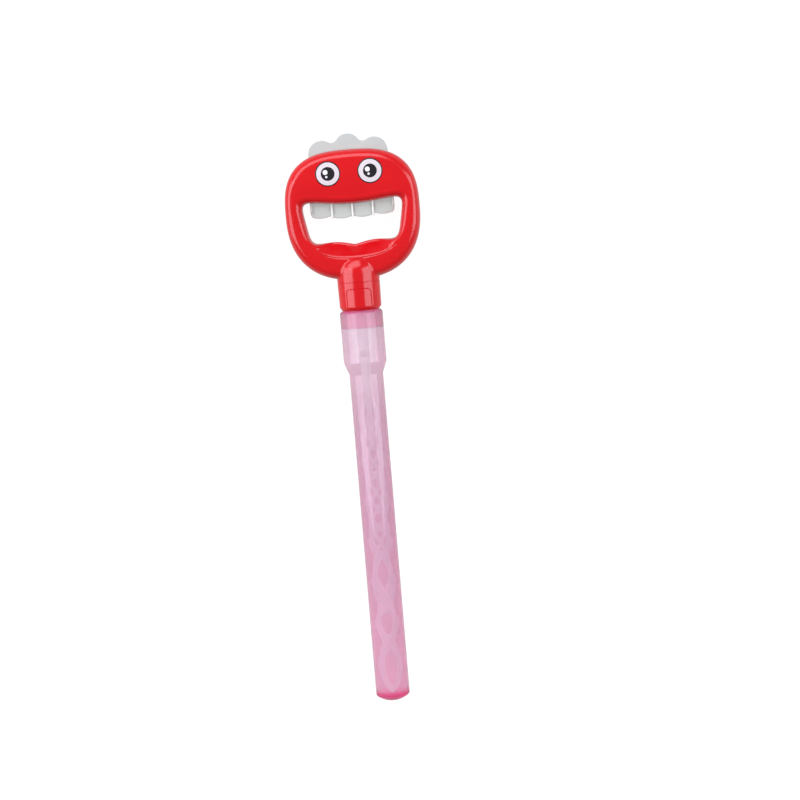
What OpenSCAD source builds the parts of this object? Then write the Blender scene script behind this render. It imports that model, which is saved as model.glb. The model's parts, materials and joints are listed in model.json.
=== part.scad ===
// Bubble wand with a face-shaped grip, a draw-off tube and five folding arms of loops.
// It lies on its back: +X is the viewer's right, +Y runs towards the crest and +Z comes out of the face.
// Levels are measured along +Y from the widest line of the face.

/* [Grip outline] */
// Width across the face
head_w = 85; // [75:0.5:95]
// Height of the face above its widest line
head_rise = 38.9; // [34:0.1:44]
// Depth of the face below its widest line
head_fall = 43.3; // [40:0.1:48]
// Thickness of the grip from front to back
head_t = 18.6; // [16:0.1:22]
// Squareness of the forehead outline
crown_power = 2.8; // [2:0.1:4]
// Squareness of the jaw outline
jaw_power = 2.4; // [2:0.1:4]
// Width of the rounded outer edge
edge_round = 6.5; // [5:0.5:8]
// Wall of the grip shells
shell_wall = 2; // [1.5:0.1:2.5]

/* [Mouth] */
// Mean width of the mouth opening
mouth_w = 59.5; // [54:0.5:62]
// Height of the mouth opening at its corners
mouth_h = 31; // [28:0.1:33]
// Distance of the mouth's middle below the widest line
mouth_drop = 6.7; // [4:0.1:8]
// Squareness of the mouth outline
mouth_power = 7; // [4:0.5:9]
// How far the brow bulges down in the middle of the mouth
brow_sag = 3; // [1:0.1:5]
// Height of the two humps of the lower lip
lip_hump = 2.5; // [1:0.1:4]
// Distance between the two humps
lip_hump_pitch = 26; // [22:0.5:30]
// Width of the rounded edge at the sides
side_flare = 4.5; // [2:0.1:5]
// Depth of the rounded edge at the brow
brow_flare = 4.5; // [3:0.1:5.5]
// Depth of the flared edge at the lower lip
lip_flare = 6.7; // [4:0.1:9]
// Squareness of the lower lip's front edge
lip_power = 2.6; // [2:0.1:3]

/* [Eyes] */
// Diameter of an eye disc
eye_d = 15.8; // [12:0.1:18]
// Distance between the eyes
eye_pitch = 26.6; // [22:0.1:30]
// Level of the eyes above the widest line
eye_level = 24.5; // [22:0.1:27]
// Thickness of an eye disc
eye_t = 1; // [0.8:0.1:1.5]

/* [Crest and teeth] */
// Thickness of the white plate
plate_t = 4; // [3:0.1:5]
// Level of the crest's middle lobe
crest_level = 48.8; // [46:0.1:52]
// Radius of the crest's middle lobe
crest_mid_r = 8; // [7:0.1:10]
// Radius of the crest's side lobes
crest_side_r = 8.4; // [7:0.1:9]
// Distance of a side lobe from the middle of the crest
crest_side_x = 16.6; // [16:0.1:17.2]
// How much lower the side lobes are than the middle one
crest_step = 3.3; // [2:0.1:4]
// Radius of the hollows between the lobes
crest_hollow_r = 4; // [3:0.1:6]
// Width across the four teeth
teeth_w = 53; // [48:0.1:54]
// Distance of the teeth's tips below the widest line
teeth_drop = 4.2; // [3:0.1:8]
// How much shorter the two outer teeth are
teeth_arc = 0.9; // [0:0.1:1.5]
// Radius of the curved tip of a tooth
tooth_tip_r = 18; // [12:0.5:30]
// Radius of the outer corners of the row of teeth
teeth_corner_r = 5; // [3:0.1:6]
// Width of the ribs between the teeth
tooth_rib_w = 1.3; // [0.8:0.1:2]
// Height of the ribs above the plate
tooth_rib_h = 0.8; // [0.4:0.1:1.2]

/* [Neck] */
// Diameter of the neck under the jaw
neck_top_d = 27; // [26.5:0.1:30]
// Diameter of the neck at its mouth
neck_low_d = 26.2; // [25.6:0.1:27]
// Distance of the neck's mouth below the widest line
neck_drop = 62.6; // [58:0.1:70]
// Distance of the dome's middle below the widest line
neck_dome_drop = 39; // [37:0.5:44]
// Chamfer round the neck's mouth
neck_chamfer = 1.4; // [0.6:0.1:1.5]
// Diameter of the socket that takes the tube
socket_d = 22.9; // [22.7:0.1:23.2]
// Depth of the socket
socket_depth = 13; // [10:0.5:16]

/* [Tube] */
// Outside diameter of the tube's wide part
wide_d = 27.1; // [26:0.1:30]
// Length of the tube's wide part
wide_len = 32.9; // [26:0.1:40]
// Length of the shoulder between the wide part and the narrow part
shoulder_len = 7.4; // [5:0.1:12]
// Outside diameter of the narrow part
tube_d = 21.4; // [20.4:0.1:23]
// Length of the narrow part with its base
tube_len = 210; // [170:1:260]
// Wall of the tube
tube_wall = 1.2; // [0.8:0.1:1.4]
// Length of the thick collar under the tube's rim
collar_len = 10.9; // [8:0.1:14]
// Thickness of the base
base_t = 2.6; // [2:0.1:5]
// Radius of the rounded inside of the base
bowl_r = 6.5; // [4:0.1:8]
// Height of the dome under the base
dome_h = 4; // [3:0.1:6]
// Wall of the spigot that enters the neck
spigot_wall = 1.15; // [1:0.05:1.3]

/* [Stem] */
// Width of the stem
stem_w = 12.8; // [12:0.1:13.4]
// Length of stem below the neck's mouth
stem_out = 33; // [28:0.5:36]
// Distance of the arm pin above the stem's end
pin_rise = 5.4; // [5:0.1:8]
// Wall of the stem
stem_wall = 1.4; // [1:0.1:1.6]
// Diameter of the arm pin
pin_d = 3; // [2.4:0.1:3.4]
// Thickness of the stopper
stopper_t = 3; // [2:0.1:4]

/* [Arms] */
// Thickness of an arm
arm_t = 1.4; // [1:0.1:1.5]
// Gap between stacked arms
arm_gap = 0.3; // [0.2:0.05:0.4]
// Number of loops on an arm
loops = 6; // [2:2:6]
// Length of strip before the loops of an outer arm
outer_strip_len = 25; // [20:0.5:40]
// Width of that strip
outer_strip_w = 5.9; // [4:0.1:6.4]
// Width of a loop of an outer arm
outer_loop_w = 11.7; // [9:0.1:12]
// Width of the strand of an outer arm
outer_strand = 2.1; // [1.6:0.1:2.6]
// Length of strip before the loops of an inner arm
inner_strip_len = 41; // [30:0.5:50]
// Width of that strip
inner_strip_w = 4; // [3:0.1:5]
// Width of a loop of an inner arm
inner_loop_w = 13.5; // [11:0.1:14]
// Width of the strand of an inner arm
inner_strand = 2.5; // [1.8:0.1:2.8]
// Length of strip before the loops of the middle arm
middle_strip_len = 60; // [45:0.5:70]
// Width of that strip
middle_strip_w = 3.9; // [3:0.1:5]
// Length of a round loop of the middle arm
middle_ring_len = 17.4; // [15:0.1:22]
// Width of a loop of the middle arm
middle_loop_w = 15.3; // [13:0.1:15.8]
// Width of the strand of the middle arm
middle_strand = 2.9; // [2.2:0.1:3.2]

/* [Hidden] */
$fn = 96;
// Radial clearance of the push fits and pivots
fit_gap = 0.05;
// Clearance round pieces that are laid between the shells
lay_gap = 0.1;
// Gap between the neck's mouth and the tube
seat_gap = 0.3;
// Height above the floor of the tube at which the strands of the last loops meet
tip_gap = 3.2;
// Length by which a cut runs past what it cuts
over = 1;

// Loft of the grip
stations = 72;
edge_steps = 5;
flare_steps = 4;
crown_steps = 3;
edge_power = 2.5;
lip_start_share = 0.5;
lip_full_share = 0.7;
mouth_taper_share = 0.108;
brow_power_share = 0.7;
round_share = 0.85;
crown_share = 0.03;
head_half_t = head_t / 2;

// Locating pegs and their sockets
peg_d = 3.6;
peg_len = 6;
post_d = 6.6;
peg_angles = [62, 118, 232, 308];

// Eye recesses
eye_sink = 0.5;

// Teeth and crest
teeth = 4;
tooth_w = teeth_w / teeth;
panel_sink = 0.6;
panel_rim = 1.4;
panel_lift = 0.8;
rib_tip = 1.2;
plate_step = 6;
plate_step_level = mouth_h / 2 - mouth_drop + plate_step;
crest_w = 2 * (crest_side_x + crest_side_r);
crest_mid_level = crest_level - crest_mid_r;
crest_side_level = crest_level - crest_step - crest_side_r;

// Tube and neck
wiper_flange_t = 0.8;
spigot_len = socket_depth - stopper_t - wiper_flange_t;
spigot_d = socket_d - 2 * lay_gap;
rim_d = (socket_d + neck_low_d) / 2;
rim_round = (wide_d - rim_d) / 2;
neck_len = neck_drop - neck_dome_drop;
tube_top = -neck_drop - seat_gap;
shoulder_top = tube_top - wide_len;
shoulder_low = shoulder_top - shoulder_len;
tube_end = shoulder_low - tube_len;
tube_h = tube_top - tube_end;
wide_bore_d = wide_d - 2 * tube_wall;
tube_bore_d = tube_d - 2 * tube_wall;
spigot_bore_d = spigot_d - 2 * spigot_wall;
bowl_steps = 6;
dome_r = (pow(tube_d / 2, 2) + pow(dome_h, 2)) / (2 * dome_h);

// Wiper ring
wiper_len = 20;
wiper_wall = 1.3;
wiper_lip = 0.5;
wiper_lip_t = 1;
wiper_d = spigot_bore_d - 2 * fit_gap;
wiper_bore_d = wiper_d - 2 * wiper_wall;

// Stem and arm stack
layers = 5;
arm_pitch = arm_t + arm_gap;
stack_t = layers * arm_pitch - arm_gap;
fork_gap = stack_t + 2 * arm_gap;
stem_d = fork_gap + 2 * stem_wall;
stem_end = -neck_drop - stem_out;
pin_level = stem_end + pin_rise;
stem_corner_r = 1;
stem_root = 8;
stem_head_t = 3;
stem_head_lug = 2.5;
socket_top = socket_depth - neck_drop;
stem_head_level = socket_top + stem_root;
stem_pocket_top = -neck_drop - stem_wall;
arm_reach = pin_level - tube_end - base_t - tip_gap;
outer_loop_len = (arm_reach - outer_strip_len) / loops;
inner_loop_len = (arm_reach - inner_strip_len) / loops;
middle_pair_len = 2 * (arm_reach - middle_strip_len) / loops;
root_r = 3.2;
root_clear = 1.5;
pin_head_d = 5;
pin_head_t = 0.7;

// Frame: the middle of the length is at Y = 0 and the lowest line of the tube is at Z = 0
axis_z = wide_d / 2;
face_y = -(crest_level + tube_end) / 2;

red = [0.90, 0.11, 0.14];
white = [0.86, 0.87, 0.86];
eye_white = [0.96, 0.93, 0.95];
pink = [0.90, 0.62, 0.78, 0.6];
deep_pink = [0.86, 0.36, 0.62, 0.8];
clear = [0.88, 0.88, 0.91, 0.7];

// Puts what is drawn about the widest line of the face into the part's frame
module in_frame() {
    translate([0, face_y, axis_z]) children();
}

// Turns a shape revolved about Z so that its axis runs along +Y
module along_y() {
    rotate([-90, 0, 0]) children();
}

// Radius of a squared ellipse at an angle
function squared_r(angle, half_w, half_h, power) =
    pow(pow(abs(cos(angle)) / half_w, power) + pow(abs(sin(angle)) / half_h, power), -1 / power);

// Outline of the face at an angle
function head_rim(angle) =
    let (up = sin(angle) >= 0)
    let (r = squared_r(angle, head_w / 2, up ? head_rise : head_fall, up ? crown_power : jaw_power))
    r * [cos(angle), sin(angle)];

// Sag of the brow at a distance from the middle, for a share of the height above the mouth's middle
function brow_shift(x, rise_share) = -brow_sag * rise_share * (1 - pow(2 * x / mouth_w, 2));

// Rise of the lower lip at a distance from the middle
function lip_shift(x, fall_share) =
    abs(x) > lip_hump_pitch ? 0 : lip_hump * fall_share * (1 - cos(360 * x / lip_hump_pitch)) / 2;

// Mouth outline on the parting plane at an angle
function mouth_middle(angle) =
    let (r = squared_r(angle, mouth_w / 2, mouth_h / 2, mouth_power))
    let (rise_share = 2 * r * sin(angle) / mouth_h)
    let (x = r * cos(angle) * (1 + mouth_taper_share * rise_share))
    let (shift = rise_share > 0 ? brow_shift(x, rise_share) : lip_shift(x, -rise_share))
    [x, r * sin(angle) + shift - mouth_drop];

// Mouth outline on the front and the back of the grip at an angle
function mouth_front(angle) =
    let (up = sin(angle) >= 0)
    let (half_h = mouth_h / 2 + (up ? brow_flare : lip_flare))
    let (power = up ? brow_power_share * mouth_power : lip_power)
    let (r = squared_r(angle, mouth_w / 2 + side_flare, half_h, power))
    let (x = r * cos(angle) * (1 + mouth_taper_share * max(-1, min(1, 2 * r * sin(angle) / mouth_h))))
    let (shift = up ? brow_shift(x, r * sin(angle) / half_h) : 0)
    [x, r * sin(angle) + shift - mouth_drop];

// Middle of the ring between the outline and the mouth at an angle
function ring_middle(angle) = (head_rim(angle) + mouth_middle(angle)) / 2;

// How straight the flared edge is at an angle: round at the brow and the sides, straight at the lower lip
function lip_share(angle) =
    min(1, max(0, (-sin(angle) - lip_start_share) / (lip_full_share - lip_start_share)));

// Section of one shell at an angle: over the outer edge, across the face, down the mouth and back inside
function shell_section(angle, crown) =
    let (rim = head_rim(angle), front = mouth_front(angle), middle = mouth_middle(angle))
    let (reach = norm(front - rim), along = (front - rim) / reach)
    let (edge = min(edge_round, round_share * reach), flat = reach - edge)
    let (outer = [
        for (i = [0:edge_steps])
        let (turn = 90 * i / edge_steps)
        let (share = 1 - pow(cos(turn), 2 / edge_power))
        concat(rim + along * edge * share, head_half_t * pow(sin(turn), 2 / edge_power))
    ])
    let (face = [
        for (i = [1:crown_steps - 1])
        let (share = i / crown_steps)
        concat(rim + along * (edge + flat * share), head_half_t + crown * flat * 4 * share * (1 - share))
    ])
    let (lip = lip_share(angle))
    let (flare = [
        for (i = [0:flare_steps])
        let (turn = 90 * i / flare_steps)
        let (share = pow(sin(turn), 2 / edge_power))
        let (round = i < flare_steps ? pow(cos(turn), 2 / edge_power) : 0)
        concat(front + (middle - front) * share, head_half_t * (round + lip * (1 - share - round)))
    ])
    let (skin = concat(outer, face, flare), centre = (rim + middle) / 2)
    let (shrink = 1 - 2 * shell_wall / norm(rim - middle), low = 1 - shell_wall / head_half_t)
    concat(skin, [
        for (i = [len(skin) - 1:-1:0])
        concat(centre + ([skin[i].x, skin[i].y] - centre) * shrink, skin[i].z * low)
    ]);

// Hollow half ring of the grip, from the parting plane up to the face
module shell_ring(crown) {
    sections = [for (i = [0:stations - 1]) shell_section(360 * i / stations, crown)];
    count = len(sections[0]);
    points = [for (section = sections) each section];
    faces = [
        for (i = [0:stations - 1])
        for (k = [0:count - 1])
        let (a = i * count + k)
        let (b = i * count + (k + 1) % count)
        let (c = ((i + 1) % stations) * count + (k + 1) % count)
        let (d = ((i + 1) % stations) * count + k)
        each [[a, b, c], [a, c, d]]
    ];
    polyhedron(points, faces, convexity = 6);
}

// Solid of revolution of the neck with its dome, from the parting plane forwards
module neck_half() {
    difference() {
        translate([0, -neck_drop, 0]) along_y() {
            cylinder(d1 = neck_low_d - 2 * neck_chamfer, d2 = neck_low_d, h = neck_chamfer);
            translate([0, 0, neck_chamfer])
                cylinder(d1 = neck_low_d, d2 = neck_top_d, h = neck_len - neck_chamfer);
            translate([0, 0, neck_len]) sphere(d = neck_top_d);
        }
        translate([-neck_top_d, -neck_drop - neck_top_d, -2 * neck_top_d])
            cube([2 * neck_top_d, neck_drop + neck_top_d, 2 * neck_top_d]);
    }
}

// Bar with rounded long edges, of a width and a depth, between two levels
module stem_bar(w, d, r, low, high) {
    translate([0, low, 0]) along_y() linear_extrude(high - low) {
        square([w - 2 * r, d], center = true);
        square([w, d - 2 * r], center = true);
        for (x = [-1, 1], y = [-1, 1]) {
            translate([x * (w / 2 - r), y * (d / 2 - r)]) circle(r);
        }
    }
}

// Space in the neck for the tube's spigot, the stopper and the root of the stem
module neck_space() {
    gap = 2 * lay_gap;
    translate([0, -neck_drop - over, 0]) along_y() cylinder(d = socket_d, h = socket_depth + over);
    stem_bar(stem_w + gap, stem_d + gap, stem_corner_r, -neck_drop, stem_head_level + lay_gap);
    stem_bar(stem_w + 2 * stem_head_lug + gap, stem_d + gap, stem_corner_r,
        stem_head_level - stem_head_t - lay_gap, stem_head_level + lay_gap);
}

// Position of a rib of the row of teeth
function rib_x(i) = (teeth_w - tooth_rib_w) * (i / teeth - 1 / 2);

// Level of the brow's lower edge at a distance from the middle
function brow_level(x) = mouth_h / 2 - mouth_drop + brow_shift(x, 1);

// The ribs between the teeth, from a level up to just over the brow's edge, grown by a gap
module tooth_ribs(low, gap) {
    for (i = [0:teeth]) {
        translate([rib_x(i) - tooth_rib_w / 2 - gap, low, 0])
            cube([tooth_rib_w + 2 * gap, brow_level(rib_x(i)) + rib_tip + gap - low, plate_t / 2 + tooth_rib_h + gap]);
    }
}

// Space between the shells for the white plate, with notches for its ribs
module plate_space() {
    t = plate_t + 2 * lay_gap;
    low = -mouth_drop;
    crest = crest_w + 2 * lay_gap;
    row = teeth_w + 2 * lay_gap;
    translate([-crest / 2, low, -t / 2]) cube([crest, crest_level - low, t]);
    translate([-row / 2, low, -t / 2]) cube([row, plate_step_level + lay_gap - low, t]);
    tooth_ribs(low, lay_gap);
}

// Post inside a shell, from the wall down to a face
module post(angle, face) {
    translate(concat(ring_middle(angle), face))
        cylinder(d = post_d, h = head_half_t - shell_wall / 2 - face);
}

// Is the post at this angle one that clamps the white plate?
function holds_plate(angle) = sin(angle) > 0;

module front_shell() {
    color(red) in_frame() {
        difference() {
            union() {
                shell_ring(crown_share);
                neck_half();
                for (angle = peg_angles) {
                    post(angle, holds_plate(angle) ? plate_t / 2 : 0);
                }
            }
            neck_space();
            plate_space();
            for (side = [-1, 1]) {
                translate([side * eye_pitch / 2, eye_level, head_half_t - eye_sink])
                    cylinder(d = eye_d + 2 * fit_gap, h = over + eye_t);
            }
        }
        for (angle = peg_angles) {
            translate(concat(ring_middle(angle), -peg_len))
                cylinder(d = peg_d, h = peg_len + plate_t / 2 + over);
        }
    }
}

module rear_shell() {
    color(red) in_frame() difference() {
        mirror([0, 0, 1]) union() {
            shell_ring(0);
            neck_half();
            for (angle = peg_angles) {
                post(angle, holds_plate(angle) ? plate_t / 2 : 0);
            }
        }
        neck_space();
        plate_space();
        for (angle = peg_angles) {
            translate(concat(ring_middle(angle), -peg_len - lay_gap))
                cylinder(d = peg_d + 2 * fit_gap, h = peg_len + over);
        }
    }
}

// How much higher the tip of a tooth is than that of the middle teeth
function tooth_raise(i) = teeth_arc * (abs(i - (teeth - 1) / 2) - 1 / 2);

// Row of teeth, smaller by a margin at the tips and the outer corners
module teeth_row(margin) {
    corner = teeth_corner_r - margin;
    half = teeth_w / 2 - margin;
    low = margin - teeth_drop;
    intersection() {
        union() {
            for (i = [0:teeth - 1]) {
                translate([(i + 1 / 2) * tooth_w - teeth_w / 2, tooth_tip_r - teeth_drop + tooth_raise(i)])
                    intersection() {
                        circle(tooth_tip_r - margin);
                        square([tooth_w, 2 * tooth_tip_r], center = true);
                    }
            }
        }
        union() {
            translate([-half, low + corner]) square([2 * half, plate_step_level - low - corner]);
            translate([corner - half, low]) square([2 * (half - corner), plate_step_level - low]);
            for (side = [-1, 1]) {
                translate([side * (half - corner), low + corner]) circle(corner);
            }
        }
    }
}

// Filled corner between the middle lobe and a side lobe, down to the lobes' middles
module crest_hollow(side) {
    mid = [0, crest_mid_level];
    lobe = [side * crest_side_x, crest_side_level];
    span = norm(lobe - mid);
    mid_reach = crest_mid_r + crest_hollow_r;
    lobe_reach = crest_side_r + crest_hollow_r;
    along = (pow(span, 2) + pow(mid_reach, 2) - pow(lobe_reach, 2)) / (2 * span);
    up = sqrt(pow(mid_reach, 2) - pow(along, 2));
    run = (lobe - mid) / span;
    hollow = mid + along * run + up * side * [-run.y, run.x];
    difference() {
        polygon([mid, lobe, hollow]);
        translate(hollow) circle(crest_hollow_r);
    }
}

// Crest with three lobes and the web that joins it to the teeth
module crest() {
    translate([0, crest_mid_level]) circle(crest_mid_r);
    for (side = [-1, 1]) {
        translate([side * crest_side_x, crest_side_level]) circle(crest_side_r);
        crest_hollow(side);
    }
    translate([-crest_w / 2, plate_step_level - panel_rim])
        square([crest_w, crest_side_level - plate_step_level + panel_rim]);
}

module tooth_plate() {
    color(white) in_frame() {
        difference() {
            translate([0, 0, -plate_t / 2]) linear_extrude(plate_t) {
                crest();
                teeth_row(0);
            }
            translate([0, 0, plate_t / 2 - panel_sink]) linear_extrude(panel_sink + over) intersection() {
                translate([0, panel_lift]) teeth_row(panel_rim);
                translate([-teeth_w / 2, -teeth_drop]) square([teeth_w, teeth_drop + brow_level(0)]);
            }
            for (angle = peg_angles) {
                translate(concat(ring_middle(angle), -plate_t))
                    cylinder(d = peg_d + 2 * lay_gap, h = 2 * plate_t);
            }
        }
        intersection() {
            tooth_ribs(-teeth_drop, 0);
            linear_extrude(plate_t) teeth_row(0);
        }
    }
}

// Eye disc on one side of the face
module eye(side) {
    color(eye_white) in_frame() translate([side * eye_pitch / 2, eye_level, head_half_t - eye_sink])
        cylinder(d = eye_d, h = eye_t);
}

module left_eye() {
    eye(-1);
}

module right_eye() {
    eye(1);
}

module stopper() {
    gap = 2 * fit_gap;
    color(deep_pink) in_frame() difference() {
        translate([0, socket_top - stopper_t, 0]) along_y() cylinder(d = socket_d - gap, h = stopper_t);
        stem_bar(stem_w + gap, stem_d + gap, stem_corner_r, socket_top - stopper_t - over, socket_top + over);
    }
}

module stem() {
    open_top = pin_level + root_r + root_clear;
    color(clear) in_frame() difference() {
        union() {
            stem_bar(stem_w, stem_d, stem_corner_r, stem_end, stem_head_level);
            stem_bar(stem_w + 2 * stem_head_lug, stem_d, stem_corner_r,
                stem_head_level - stem_head_t, stem_head_level);
        }
        stem_bar(stem_w - 2 * stem_wall, fork_gap, stem_corner_r, stem_end - over, stem_pocket_top);
        translate([-stem_w, stem_end - over, -fork_gap / 2])
            cube([2 * stem_w, open_top - stem_end + over, fork_gap]);
        translate([0, pin_level, -stem_d]) cylinder(d = pin_d + 2 * fit_gap, h = 2 * stem_d);
    }
}

module arm_pin() {
    color(clear) in_frame() translate([0, pin_level, 0]) {
        cylinder(d = pin_d, h = stem_d, center = true);
        for (side = [-1, 1]) {
            translate([0, 0, side * (stem_d + pin_head_t) / 2])
                cylinder(d = pin_head_d, h = pin_head_t, center = true);
        }
    }
}

// Lens between two arcs that meet a length apart, with a width between the arcs, grown by a margin
module lens(length, width, margin) {
    r = (pow(length, 2) + pow(width, 2)) / (4 * width);
    intersection_for(side = [-1, 1]) {
        translate([side * (r - width / 2), 0]) circle(r + margin);
    }
}

// Loop whose strands meet at its two ends, hanging from its upper end
module loop(length, width, strand) {
    translate([0, -length / 2]) difference() {
        lens(length, width - strand, strand / 2);
        lens(length, width - strand, -strand / 2);
    }
}

// Root eye and strip of an arm, hanging from the pin, with loops under them
module arm_blank(strip_len, strip_w) {
    difference() {
        union() {
            circle(root_r);
            translate([-strip_w / 2, -strip_len]) square([strip_w, strip_len]);
        }
        circle(d = pin_d + 2 * fit_gap);
    }
    translate([0, -strip_len]) children();
}

// Places an outline of an arm in its layer of the stack, at a thickness
module arm_layer(layer) {
    color(clear) in_frame() translate([0, pin_level, layer * arm_pitch - arm_t / 2])
        linear_extrude(arm_t) children();
}

module outer_arm(layer) {
    arm_layer(layer) arm_blank(outer_strip_len, outer_strip_w) {
        for (i = [0:loops - 1]) {
            translate([0, -i * outer_loop_len]) loop(outer_loop_len, outer_loop_w, outer_strand);
        }
    }
}

module inner_arm(layer) {
    arm_layer(layer) arm_blank(inner_strip_len, inner_strip_w) {
        for (i = [0:loops - 1]) {
            translate([0, -i * inner_loop_len]) loop(inner_loop_len, inner_loop_w, inner_strand);
        }
    }
}

module arm_left_outer() {
    outer_arm(2);
}

module arm_left_inner() {
    inner_arm(1);
}

module arm_middle() {
    arm_layer(0) arm_blank(middle_strip_len, middle_strip_w) {
        for (i = [0:loops / 2 - 1]) {
            translate([0, -i * middle_pair_len]) {
                loop(middle_ring_len, middle_loop_w, middle_strand);
                translate([0, -middle_ring_len])
                    loop(middle_pair_len - middle_ring_len, middle_loop_w, middle_strand);
            }
        }
    }
}

module arm_right_inner() {
    inner_arm(-1);
}

module arm_right_outer() {
    outer_arm(-2);
}

// Outside of the tube as half a section, from the base up
module tube_outside() {
    polygon([
        [0, dome_h],
        [tube_d / 2, dome_h],
        [tube_d / 2, tube_len],
        [wide_d / 2, tube_len + shoulder_len],
        [wide_d / 2, tube_h - rim_round],
        [rim_d / 2, tube_h],
        [spigot_d / 2, tube_h],
        [spigot_d / 2, tube_h + spigot_len],
        [0, tube_h + spigot_len]
    ]);
    intersection() {
        translate([0, dome_r]) circle(dome_r);
        square([tube_d / 2, dome_h]);
    }
}

// Inside of the tube as half a section
module tube_inside() {
    polygon([
        [0, base_t],
        each [
            for (i = [0:bowl_steps])
            let (turn = 90 * i / bowl_steps)
            [tube_bore_d / 2 - bowl_r * (1 - sin(turn)), base_t + bowl_r * (1 - cos(turn))]
        ],
        [tube_bore_d / 2, tube_len],
        [wide_bore_d / 2, tube_len + shoulder_len],
        [wide_bore_d / 2, tube_h - collar_len],
        [spigot_bore_d / 2, tube_h - collar_len],
        [spigot_bore_d / 2, tube_h + spigot_len + over],
        [0, tube_h + spigot_len + over]
    ]);
}

module tube() {
    color(pink) in_frame() translate([0, tube_end, 0]) along_y() rotate_extrude() difference() {
        tube_outside();
        tube_inside();
    }
}

module wiper_ring() {
    color(deep_pink) in_frame() translate([0, tube_top + spigot_len, 0]) along_y() rotate_extrude() {
        translate([wiper_bore_d / 2, -wiper_len]) square([wiper_wall, wiper_len + wiper_flange_t]);
        translate([wiper_bore_d / 2 - wiper_lip, -wiper_len]) square([wiper_lip + wiper_wall, wiper_lip_t]);
        translate([wiper_bore_d / 2, 0]) square([(spigot_d - wiper_bore_d) / 2, wiper_flange_t]);
    }
}

front_shell();
rear_shell();
tooth_plate();
left_eye();
right_eye();
stopper();
stem();
arm_pin();
arm_left_outer();
arm_left_inner();
arm_middle();
arm_right_inner();
arm_right_outer();
tube();
wiper_ring();
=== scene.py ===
import bpy
import bmesh
import json
import math
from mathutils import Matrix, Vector

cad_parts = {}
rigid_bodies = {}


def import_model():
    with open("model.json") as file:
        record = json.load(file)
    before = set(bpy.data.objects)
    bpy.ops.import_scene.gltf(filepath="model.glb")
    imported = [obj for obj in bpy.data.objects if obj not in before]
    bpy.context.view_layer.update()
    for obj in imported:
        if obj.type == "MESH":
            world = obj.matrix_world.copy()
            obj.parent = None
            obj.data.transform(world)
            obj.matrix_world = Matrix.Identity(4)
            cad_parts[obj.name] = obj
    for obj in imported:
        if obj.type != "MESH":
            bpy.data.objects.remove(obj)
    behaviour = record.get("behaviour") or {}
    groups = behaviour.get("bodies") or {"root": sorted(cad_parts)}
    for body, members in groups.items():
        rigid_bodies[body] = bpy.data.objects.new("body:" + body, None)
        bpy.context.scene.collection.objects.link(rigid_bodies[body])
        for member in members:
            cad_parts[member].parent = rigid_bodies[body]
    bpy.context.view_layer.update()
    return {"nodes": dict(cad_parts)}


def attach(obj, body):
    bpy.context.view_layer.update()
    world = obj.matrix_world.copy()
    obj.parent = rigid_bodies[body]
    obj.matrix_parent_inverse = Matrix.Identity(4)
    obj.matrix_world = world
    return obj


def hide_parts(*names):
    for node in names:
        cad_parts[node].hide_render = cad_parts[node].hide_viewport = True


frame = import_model()
nodes = frame["nodes"]
print("frame loaded:", len(nodes), "solids")

mm = 0.001
faceY = 132.2            # where the widest line of the face lies along the wand, in mm
axisZ = 13.55            # height of the wand's axis above the table, in mm
mergeGap = 0.002         # points closer together than this become one, in mm
smoothAngle = 35         # edges that turn by more than this stay sharp, in degrees
opaqueSlots = ("red_plastic", "white_plastic", "eye_print")


# ways of working

def deselectAll():
    if bpy.context.object and bpy.context.object.mode != "OBJECT":
        bpy.ops.object.mode_set(mode="OBJECT")
    for obj in bpy.context.scene.objects:
        obj.select_set(False)


def makeActive(obj):
    deselectAll()
    obj.select_set(True)
    bpy.context.view_layer.objects.active = obj


def startEdit(obj, selectMode="VERT"):
    makeActive(obj)
    bpy.ops.object.mode_set(mode="EDIT")
    bpy.ops.mesh.select_mode(type=selectMode)
    return bmesh.from_edit_mesh(obj.data)


def endEdit():
    bpy.ops.object.mode_set(mode="OBJECT")


def cleanMesh(obj, gap=mergeGap):
    startEdit(obj)
    bpy.ops.mesh.select_all(action="SELECT")
    bpy.ops.mesh.remove_doubles(threshold=gap * mm)
    bpy.ops.mesh.normals_make_consistent(inside=False)
    endEdit()


def useModifier(obj, kind, **settings):
    makeActive(obj)
    modifier = obj.modifiers.new(kind.lower(), kind)
    for name, value in settings.items():
        setattr(modifier, name, value)
    bpy.ops.object.modifier_apply(modifier=modifier.name)


def cutOrJoin(obj, tool, operation):
    useModifier(obj, "BOOLEAN", object=tool, operation=operation, solver="EXACT")
    bpy.data.objects.remove(tool)


# after cuts: splits many-sided faces and merges slivers, so that the exported mesh is closed
def mergeSlivers(obj):
    mesh = startEdit(obj, "FACE")
    bmesh.ops.triangulate(mesh, faces=[face for face in mesh.faces if len(face.verts) > 4])
    bmesh.ops.remove_doubles(mesh, verts=mesh.verts[:], dist=mergeGap * mm)
    bmesh.update_edit_mesh(obj.data)
    endEdit()


def smoothShade(obj, degrees=smoothAngle):
    makeActive(obj)
    bpy.ops.object.shade_smooth_by_angle(angle=math.radians(degrees))


def finishPiece(obj, name, body, slot, material, node):
    obj.name = name
    obj.data.name = name
    obj.data.materials.clear()
    obj.data.materials.append(material)
    obj.visible_shadow = slot in opaqueSlots                  # see-through pieces let light by
    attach(obj, body)
    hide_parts(node)
    print("piece:", name, len(obj.data.polygons), "faces")


# x across the wand, level along it from the face's widest line, height above the axis, all in mm
def place(x, level, height):
    return Vector((x, faceY + level, axisZ + height)) * mm


def emptyPiece():
    deselectAll()
    bpy.ops.mesh.primitive_circle_add(vertices=3)
    obj = bpy.context.object
    startEdit(obj)
    bpy.ops.mesh.delete(type="VERT")
    endEdit()
    return obj


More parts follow.
